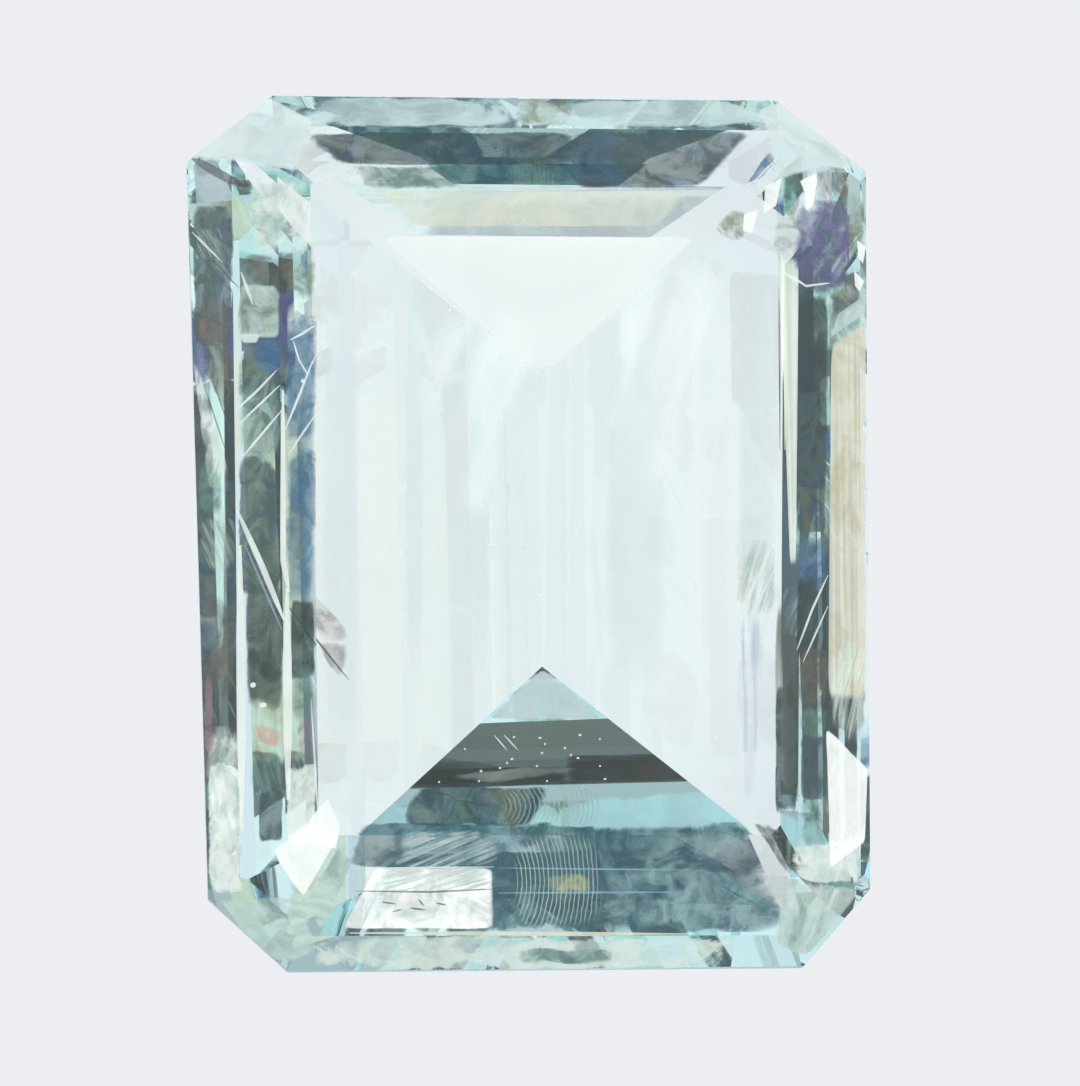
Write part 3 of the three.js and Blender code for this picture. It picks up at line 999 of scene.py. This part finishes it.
# The bright and cream streaks at the facet edges are painted edge highlights, and all streaks glow as
# painted light.
STREAKS = (
    Streak(BRIGHT, ((241, 272), (253, 305)), 3.0, 0.04),
    Streak(BRIGHT, ((237, 510), (262, 566), (284, 620)), 6.0, 0.04),
    Streak(BLUISH, ((245, 545), (282, 630)), 2.2, 0.05),
    Streak(BRIGHT, ((192, 232), (222, 262)), 2.0, 0.04),
    Streak(DARK, ((196, 240), (238, 288)), 2.0, 0.05),
    Streak(DARK, ((200, 315), (233, 330)), 2.2, 0.05),
    Streak(DARK, ((204, 384), (226, 452)), 1.6, 0.04),
    Streak(DARK, ((212, 378), (230, 430)), 1.4, 0.04),
    Streak(BRIGHT, ((236, 410), (256, 392), (277, 370)), 2.2, 0.04),
    Streak(BRIGHT, ((238, 425), (280, 385)), 2.0, 0.04),
    Streak(BRIGHT, ((240, 460), (282, 410)), 2.2, 0.04),
    Streak(CREAM_EDGE_HIGHLIGHT, ((237, 300), (237, 510)), 3.0, 0.04),
    Streak(BRIGHT, ((240, 545), (242, 830)), 9.0, 0.04),
    Streak(DARK, ((192, 158), (216, 172), (242, 186)), 9.0, 0.05),
    Streak(BRIGHT, ((283, 390), (283, 560), (289, 592)), 5.5, 0.04),
    Streak(BRIGHT, ((287, 588), (288, 800)), 9.0, 0.04),
    Streak(DARK, ((284, 600), (312, 640), (345, 680)), 2.0, 0.3),
    Streak(BRIGHT, ((290, 340), (302, 334), (315, 325)), 2.0, 0.04),
    Streak(BRIGHT, ((293, 340), (299, 360), (308, 375)), 1.8, 0.04),
    Streak(BRIGHT, ((285, 430), (299, 396), (315, 355)), 2.2, 0.04),
    Streak(BRIGHT, ((288, 455), (315, 415)), 2.0, 0.04),
    Streak(BRIGHT, ((311, 700), (319, 830)), 1.6, 0.05),
    Streak(DARK, ((779, 252), (780, 450)), 1.8, 0.04),
    Streak(CREAM_EDGE_HIGHLIGHT, ((785, 252), (785, 450)), 2.6, 0.04),
    Streak(BRIGHT, ((785, 272), (806, 286), (830, 283)), 2.2, 0.04),
    Streak(BRIGHT, ((742, 188), (756, 180), (777, 158)), 1.4, 0.05),
    Streak(BRIGHT, ((797, 650), (812, 610), (828, 575)), 2.2, 0.04),
    Streak(BRIGHT, ((803, 662), (828, 606)), 1.8, 0.04),
    Streak(BRIGHT, ((738, 620), (757, 578), (775, 540)), 2.2, 0.05),
    Streak(BRIGHT, ((741, 640), (773, 572)), 1.6, 0.05),
    Streak(LIGHT_GREEN, ((838, 716), (860, 642)), 2.2, 0.04),
    Streak(LIGHT_GREEN, ((848, 722), (864, 664)), 1.8, 0.04),
    Streak(BRIGHT, ((575, 540), (580, 514), (590, 490)), 1.6, 1.5),
    Streak(BRIGHT, ((494, 735), (507, 750)), 1.4, 0.3),
    Streak(BRIGHT, ((504, 735), (518, 750)), 1.4, 0.3),
    Streak(DARK, ((425, 792), (450, 795)), 2.0, 0.3),
    Streak(DARK, ((456, 800), (490, 806)), 2.0, 0.3),
    Streak(DARK, ((571, 872), (571, 894)), 2.0, 0.25),
    Streak(CREAM_EDGE_HIGHLIGHT, ((350, 933), (690, 934)), 4.0, 0.05),
    Streak(DARK, ((356, 891), (430, 892), (494, 889)), 2.0, 0.2),
    Streak(BRIGHT, ((372, 868), (494, 867)), 1.6, 0.2),
    Streak(DARK, ((392, 912), (402, 909)), 1.6, 0.2),
    Streak(DARK, ((418, 899), (424, 906)), 1.6, 0.2),
    Streak(BLUISH, ((498, 868), (690, 870)), 1.6, 0.24),
    Streak(BLUISH, ((498, 893), (690, 892)), 2.0, 0.24),
    Streak(DARK, ((382, 902), (396, 904)), 2.0, 0.2),
    Streak(DARK, ((410, 908), (426, 910)), 2.0, 0.2),
    Streak(DARK, ((436, 903), (446, 905)), 2.0, 0.2),
)

SPECKS = (
    Specks(BRIGHT, ((465, 749), (514, 737), (540, 738), (545, 744), (565, 748), (580, 735), (600, 739),
                    (571, 755), (578, 758), (600, 766), (537, 766), (512, 759), (507, 763), (500, 768),
                    (481, 771), (439, 782), (479, 781), (605, 779), (547, 781), (542, 753)), 1.1, 0.4),
    Specks(BRIGHT, ((303, 381), (253, 685), (263, 705)), 3.0, 0.06),
    Specks(BRIGHT, ((552, 356), (490, 545), (541, 595), (450, 310)), 1.3, 1.8),
    Specks(DARK, ((858, 893), (851, 880)), 4.0, 0.08),
)


@dataclass
class InnerMarks:
    """The healed cracks, needles and small crystals inside the stone, with painted glints, painted edge
    highlights and painted reflections laid among them, one piece for each finish. All of them glow as
    painted light.

    A needle has some grid squares for each leg of its line and is thinner at both ends by end_taper.
    The small crystals are balls stretched by up to two steps of stretch, and flattened.
    """

    inside: StoneInside
    leg_steps: int = 3
    end_taper: float = 0.7
    taper_power: int = 3
    stretch: float = 0.3
    flatness: float = 0.6

    def build(self) -> list[bpy.types.Object]:
        """Model and dress all marks.

        Returns:
            One piece for each finish.
        """
        groups: dict[FilmFinish, list] = {}
        for film in FILMS:
            groups.setdefault(film.finish, []).append(self.sheet(film))
        for streak in STREAKS:
            groups.setdefault(streak.finish, []).append(self.ribbon(streak))
        for specks in SPECKS:
            groups.setdefault(specks.finish, []).extend(self.crystals(specks))
        return [self.joined(finish, parts) for finish, parts in groups.items()]

    def sheet(self, film: Film) -> bpy.types.Object:
        """Lay a grid on the four corners of a film.

        Args:
            film: The film.

        Returns:
            The grid, under the facet that the film's middle is seen through.
        """
        across, down = film.steps
        bpy.ops.mesh.primitive_grid_add(x_subdivisions=across, y_subdivisions=down, size=1)
        sheet = bpy.context.object
        first, second, third, fourth = (Vector(corner) for corner in film.corners)
        middle = (first + second + third + fourth) / 4
        facet = self.inside.facet(*middle)
        for vertex in sheet.data.vertices:
            to_right, to_bottom = 0.5 + vertex.co.x, 0.5 - vertex.co.y
            spot = first.lerp(second, to_right).lerp(fourth.lerp(third, to_right), to_bottom)
            vertex.co = self.inside.place(spot.x, spot.y, film.depth, facet)
        return sheet

    def ribbon(self, streak: Streak) -> bpy.types.Object:
        """Lay a narrow strip on the line of a streak.

        Args:
            streak: The streak.

        Returns:
            The strip, thinner at both ends.
        """
        points = [Vector(point) for point in streak.points]
        legs = len(points) - 1
        bpy.ops.mesh.primitive_grid_add(x_subdivisions=legs * self.leg_steps, y_subdivisions=1, size=1)
        ribbon = bpy.context.object
        facet = self.inside.facet(*(sum(points, Vector((0, 0))) / len(points)))
        for vertex in ribbon.data.vertices:
            run = (vertex.co.x + 0.5) * legs
            leg = min(int(run), legs - 1)
            spot = points[leg].lerp(points[leg + 1], run - leg)
            aside = (points[leg + 1] - points[leg]).orthogonal().normalized()
            taper = 1 - self.end_taper * abs(vertex.co.x * 2) ** self.taper_power
            spot += aside * streak.width * vertex.co.y * taper
            vertex.co = self.inside.place(spot.x, spot.y, streak.depth, facet)
        return ribbon

    def crystals(self, specks: Specks) -> list[bpy.types.Object]:
        """Set a small ball, a little stretched, at each spot.

        Args:
            specks: The specks.

        Returns:
            The balls.
        """
        made = []
        for index, spot in enumerate(specks.spots):
            place = self.inside.place(*spot, specks.depth, self.inside.facet(*spot))
            size = specks.radius / self.inside.sight.pixels_per_mm * MM
            bpy.ops.mesh.primitive_ico_sphere_add(subdivisions=1, radius=size, location=place)
            bpy.ops.transform.resize(value=(1 + self.stretch * (index % 3), 1, self.flatness))
            made.append(bpy.context.object)
        return made

    def joined(self, finish: FilmFinish, parts: list[bpy.types.Object]) -> bpy.types.Object:
        """Join the marks of one finish to one piece and dress it.

        Args:
            finish: The finish that the marks share.
            parts: The marks.

        Returns:
            The piece.
        """
        deselect()
        for part in parts:
            part.select_set(True)
        piece = parts[0]
        bpy.context.view_layer.objects.active = piece
        if len(parts) > 1:
            bpy.ops.object.join()
        settle(piece)
        piece.name = "aquamarine_" + finish.name
        piece.data.materials.append(finish.material())
        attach(piece, "root")
        return piece


# The studio

@dataclass(frozen=True)
class Glow:
    """A soft patch of the surroundings, towards a direction of the stone's frame.

    reach and soft are degrees from its middle, and mottled is the share of the room's mixed tones in it.
    """

    towards: tuple
    reach: float
    soft: float
    colour: tuple
    mottled: float = 0.0


@dataclass
class Studio:
    """A pale floor that sweeps up all round, soft light from the surroundings, and the camera.

    sweep gives how far out and how far up each turn of the floor's rim goes, in metres. A soft lamp
    shines through the floor under the stone, and the floor darkens towards its rim.
    """

    sight: Sight
    floor_radius: float = 0.21
    floor_sides: int = 96
    gap: float = 0.02 * MM
    sweep: tuple = ((0.05, 0.004), (0.04, 0.014), (0.03, 0.03), (0.015, 0.05))
    pale: tuple = (0.93, 0.94, 0.965)
    paper: tuple = (0.845, 0.858, 0.89)
    lamp: tuple = (0.975, 0.965, 0.965)
    lamp_place: tuple = (-1.9 * MM, 0.4 * MM, 0.0)
    lamp_shape: tuple = (5.4 * MM, 6.3 * MM, 1.0)
    lamp_edge: tuple = (1.05, 0.5)
    shade_from: float = 0.03
    shade_to: float = 0.16
    far_shade: float = 0.55
    room_scale: float = 11.0
    room_detail: float = 5.0
    room_roughness: float = 0.62
    room_distortion: float = 1.2
    room_tones: dict = field(default_factory=lambda: {
        0.36: (0.012, 0.02, 0.022),
        0.44: (0.03, 0.05, 0.05),
        0.475: (0.045, 0.08, 0.12),
        0.51: (0.05, 0.065, 0.055),
        0.54: (0.15, 0.12, 0.085),
        0.575: (0.07, 0.11, 0.11),
        0.65: (0.62, 0.66, 0.63),
    })
    glows: tuple = (
        Glow((0.0, -0.05, 1.0), 33.0, 6.0, (0.6, 0.6, 0.58)),
        Glow((-0.2, 0.15, 0.97), 14.0, 4.0, (0.12, 0.13, 0.135), 0.92),
        Glow((-0.33, -0.25, 0.91), 8.0, 3.0, (0.2, 0.21, 0.22), 0.7),
        Glow((-0.5, 0.15, 0.85), 6.0, 3.0, (0.3, 0.32, 0.32), 0.5),
        Glow((0.0, -0.53, 0.85), 6.0, 1.5, (0.06, 0.085, 0.095), 0.4),
        Glow((0.14, -0.54, 0.83), 6.0, 1.5, (0.06, 0.085, 0.095), 0.4),
        Glow((-0.14, -0.54, 0.83), 6.0, 1.5, (0.06, 0.085, 0.095), 0.4),
        Glow((0.0, -0.68, 0.73), 4.0, 1.5, (0.2, 0.24, 0.25), 0.3),
        Glow((0.03, 0.27, 0.96), 4.5, 1.2, (1.0, 0.97, 0.86)),
        Glow((0.0, -0.4, 0.92), 4.5, 1.2, (1.1, 1.12, 1.16)),
        Glow((0.46, -0.28, 0.85), 10.0, 4.0, (1.3, 1.3, 1.3)),
        Glow((0.42, 0.17, 0.89), 8.0, 3.0, (1.1, 1.08, 1.0)),
        Glow((0.6, 0.48, 0.64), 9.0, 3.0, (1.5, 1.5, 1.42)),
        Glow((0.0, 0.7, 0.71), 12.0, 2.5, (0.08, 0.055, 0.048), 0.2),
        Glow((0.0, 0.93, 0.37), 9.0, 2.5, (0.5, 0.57, 0.58)),
    )

    def build(self) -> None:
        """Make the floor, the surroundings and the camera."""
        self.floor()
        self.surroundings()
        self.sight.camera()

    def floor(self) -> None:
        """Make one disc whose rim sweeps up."""
        deselect()
        bpy.ops.mesh.primitive_circle_add(vertices=self.floor_sides, radius=self.floor_radius,
                                          fill_type="NGON", location=(0, 0, -self.gap))
        floor = bpy.context.object
        floor.name = "studio_floor"
        bpy.ops.object.mode_set(mode="EDIT")
        bpy.ops.mesh.select_mode(type="EDGE")
        bpy.ops.mesh.select_all(action="SELECT")
        bpy.ops.mesh.region_to_loop()
        radius = self.floor_radius
        for out, up in self.sweep:
            bpy.ops.mesh.extrude_edges_move(TRANSFORM_OT_translate={"value": (0, 0, up)})
            grown = (radius + out) / radius
            bpy.ops.transform.resize(value=(grown, grown, 1), center_override=(0, 0, 0))
            radius += out
        bpy.ops.object.mode_set(mode="OBJECT")
        settle(floor)
        bpy.ops.object.shade_smooth()
        floor.data.materials.append(self.floor_material())

    def floor_material(self) -> bpy.types.Material:
        """Make the floor's soft light, which doesn't change with what stands on it.

        Returns:
            The material.
        """
        material, shader = new_material("pale_sweep")
        place = shader.add("TexCoord").outputs["Object"]
        stretched = shader.add("Mapping", {"Vector": place, "Location": self.lamp_place,
                                           "Scale": self.lamp_shape}, vector_type="TEXTURE").outputs[0]
        away = shader.add("VectorMath", {0: stretched}, operation="LENGTH").outputs["Value"]
        lamp = shader.blend(away, self.lamp_edge)
        far = shader.add("VectorMath", {0: place}, operation="LENGTH").outputs["Value"]
        fade = shader.blend(far, (self.shade_from, self.shade_to), (1.0, self.far_shade))
        paper = shader.add("BsdfPrincipled", {
            "Base Color": (0.0, 0.0, 0.0, 1.0),
            "Roughness": 1.0,
            "Specular IOR Level": 0.0,
            "Emission Color": shader.mix(lamp, self.paper, self.lamp),
            "Emission Strength": fade,
        })
        shader.add("OutputMaterial", {"Surface": paper.outputs[0]})
        return material

    def surroundings(self) -> None:
        """Make the pale surroundings with the dim opening that the table faces."""
        world = bpy.data.worlds.new("surroundings")
        bpy.context.scene.world = world
        world.use_nodes = True
        world.cycles.sampling_method = "NONE"
        shader = Shader(world.node_tree)
        way = shader.add("TexCoord").outputs["Generated"]
        colour = shader.add("RGB").outputs[0]
        colour.default_value = (*self.pale, 1.0)
        broad = shader.noise(way, self.room_scale, self.room_detail, roughness=self.room_roughness,
                             distortion=self.room_distortion).outputs["Fac"]
        tones = shader.ramp(broad, self.room_tones)
        for glow in self.glows:
            towards = tuple(PLACE.direction(*glow.towards))
            along = shader.add("VectorMath", {0: way, 1: towards}, operation="DOT_PRODUCT")
            inner = math.cos(math.radians(glow.reach - glow.soft))
            outer = math.cos(math.radians(glow.reach + glow.soft))
            share = shader.blend(along.outputs["Value"], (outer, inner))
            patch = shader.mix(glow.mottled, glow.colour, tones) if glow.mottled else glow.colour
            colour = shader.mix(share, colour, patch)
        background = shader.add("Background", {"Color": colour, "Strength": 1.0})
        shader.add("OutputWorld", {"Surface": background.outputs[0]})


def let_light_travel() -> None:
    """Let light cross the stone as often as its facets throw it back, and show its tones plainly."""
    scene = bpy.context.scene
    scene.view_settings.view_transform = "Standard"
    scene.cycles.max_bounces = CROSSINGS
    scene.cycles.transmission_bounces = CROSSINGS
    scene.cycles.glossy_bounces = CROSSINGS
    scene.cycles.transparent_max_bounces = FILMS_IN_THE_WAY
    scene.cycles.diffuse_bounces = 0


def main() -> None:
    """Build the stone with what is in it, then the studio, and report each piece."""
    logging.basicConfig(level=logging.INFO)
    let_light_travel()
    sight = Sight()
    for piece in [CutStone().build(), *InnerMarks(StoneInside(sight)).build()]:
        log.info("%s: %d faces", piece.name, len(piece.data.polygons))
    Studio(sight).build()


if __name__ == "__main__":
    main()
